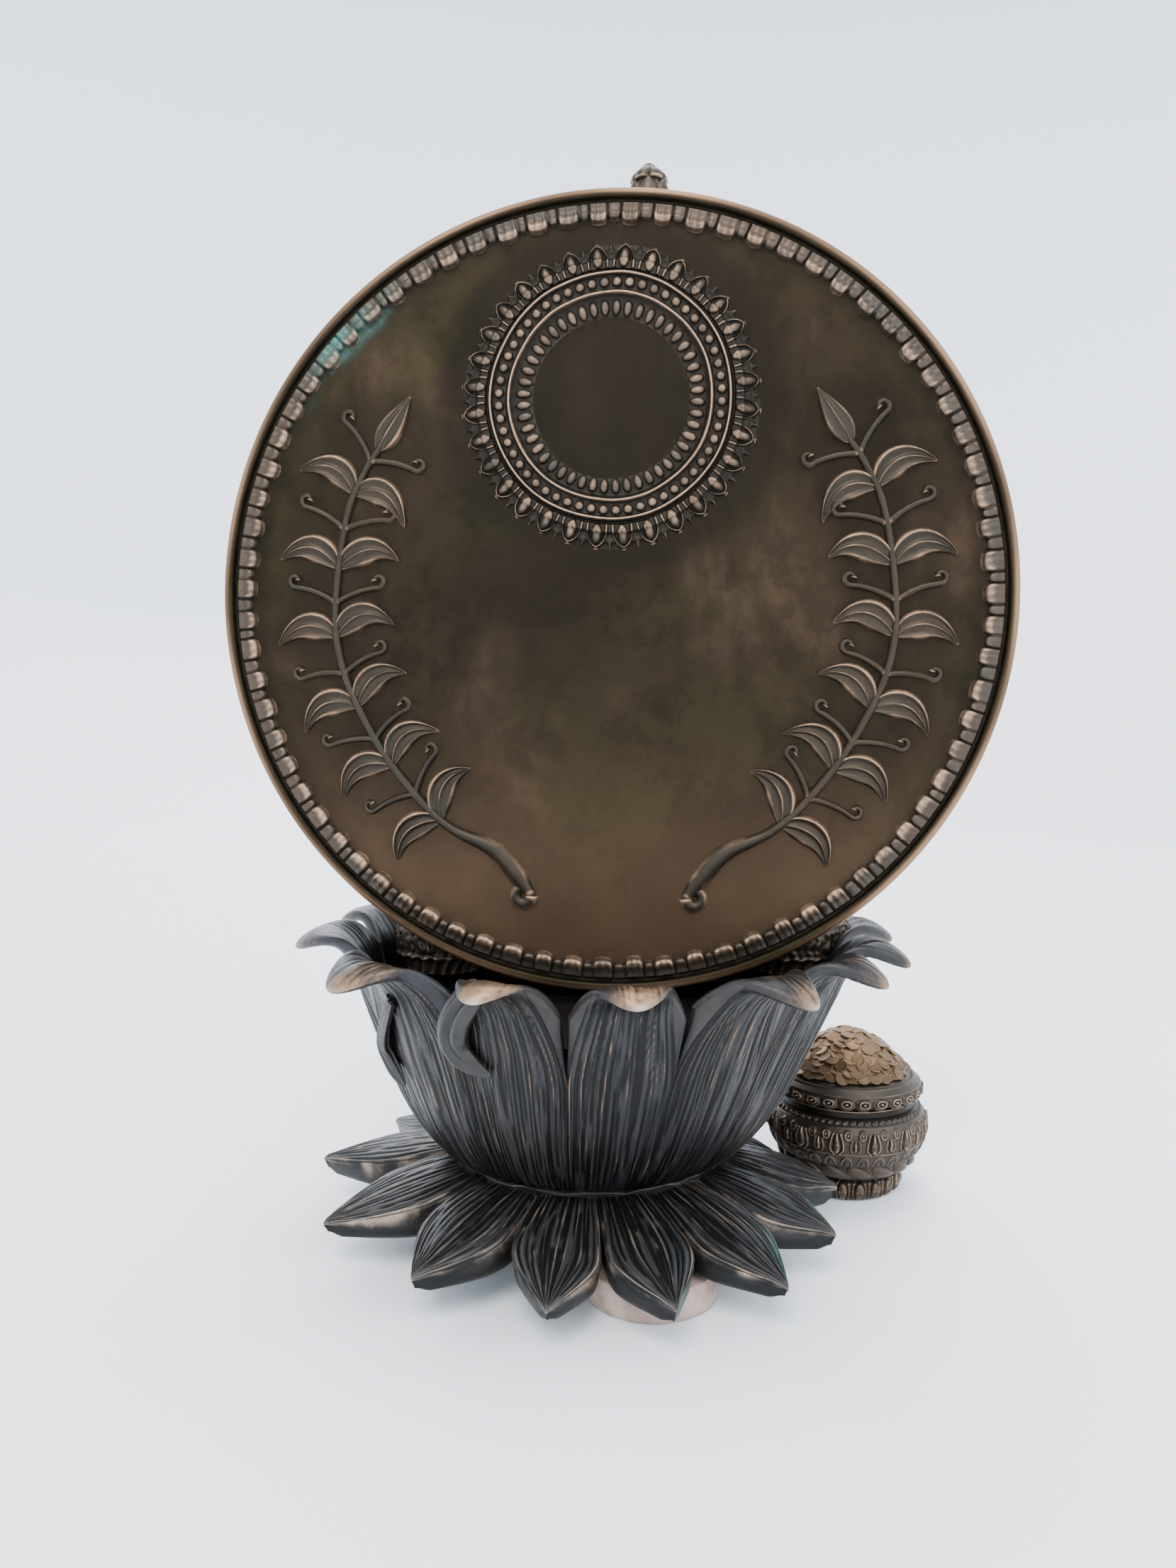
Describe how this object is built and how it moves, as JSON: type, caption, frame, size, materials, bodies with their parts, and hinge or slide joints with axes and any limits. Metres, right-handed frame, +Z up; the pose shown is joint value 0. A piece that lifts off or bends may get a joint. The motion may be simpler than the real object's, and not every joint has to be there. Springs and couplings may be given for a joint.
{
  "type": "lotus throne figure group",
  "caption": "Cold-cast bronze figure seated on a lotus bowl with spreading base petals, backed by a large round halo disc with relief ornament, beside a footed pot heaped with plain coins.",
  "frame": {"origin": "on the ground, at the centre of the group's bounding box; the foot of the lotus axis stands at x = -4.1 mm, y = 2 mm", "axes": "+Z up; the seated figure faces +Y, so the halo disc's ornamented back faces -Y; +X to the right seen from behind, with the pot on that side"},
  "size_m": [0.1538, 0.1191, 0.2134],
  "materials": {
    "bare_resin": "unpainted cast resin, matt",
    "gunmetal_bronze": "cold-cast bronze, gunmetal patina, rubbed bronze edges, satin",
    "slate_bronze": "cold-cast bronze, dark slate-blue patina, rubbed bronze tips, satin",
    "plate_bronze": "cold-cast bronze, mottled dark brown and olive patina, satin",
    "relief_bronze": "cold-cast bronze, dark patina with dry-brushed light bronze, satin",
    "figure_bronze": "cold-cast bronze, dark patina with dry-brushed bronze, satin",
    "coin_bronze": "cold-cast bronze, gold-bronze wash, satin",
    "pin_steel": "plain drawn steel pin"
  },
  "bodies": {
    "root": {"foot_01": "bare_resin", "foot_02": "bare_resin", "foot_03": "bare_resin", "base_hub": "gunmetal_bronze", "base_petal_01": "gunmetal_bronze", "base_petal_02": "gunmetal_bronze", "base_petal_03": "gunmetal_bronze", "base_petal_04": "gunmetal_bronze", "base_petal_05": "gunmetal_bronze", "base_petal_06": "gunmetal_bronze", "base_petal_07": "gunmetal_bronze", "base_petal_08": "gunmetal_bronze", "base_petal_09": "gunmetal_bronze", "base_petal_10": "gunmetal_bronze", "base_petal_11": "gunmetal_bronze", "base_petal_12": "gunmetal_bronze", "base_petal_13": "gunmetal_bronze", "base_petal_14": "gunmetal_bronze", "bowl_core": "slate_bronze", "bowl_petal_01": "slate_bronze", "bowl_petal_02": "slate_bronze", "bowl_petal_03": "slate_bronze", "bowl_petal_04": "slate_bronze", "bowl_petal_05": "slate_bronze", "bowl_petal_06": "slate_bronze", "bowl_petal_07": "slate_bronze", "bowl_petal_08": "slate_bronze", "bowl_petal_09": "slate_bronze", "bowl_petal_10": "slate_bronze", "bowl_petal_11": "slate_bronze", "bowl_petal_12": "slate_bronze", "bowl_petal_13": "slate_bronze", "hub_peg": "pin_steel", "figure_peg": "pin_steel", "halo_pin_lower": "pin_steel", "halo_pin_upper": "pin_steel", "halo_plate": "plate_bronze", "halo_rim_band": "relief_bronze", "halo_medallion": "relief_bronze", "halo_branch_left": "relief_bronze", "halo_branch_right": "relief_bronze", "crown_band": "relief_bronze", "crown_tiers": "relief_bronze", "crown_tip": "relief_bronze", "pot_foot": "relief_bronze", "pot_body": "relief_bronze", "pot_rim": "relief_bronze", "seat_cushion": "figure_bronze", "crossed_legs": "figure_bronze", "torso": "figure_bronze", "head": "figure_bronze", "upper_arm_left": "figure_bronze", "upper_arm_right": "figure_bronze", "forearm_left": "figure_bronze", "forearm_right": "figure_bronze", "hand_left": "figure_bronze", "hand_right": "figure_bronze", "sash_end_near": "figure_bronze", "sash_end_far": "figure_bronze", "coin_heap": "coin_bronze"}
  },
  "joints": []
}
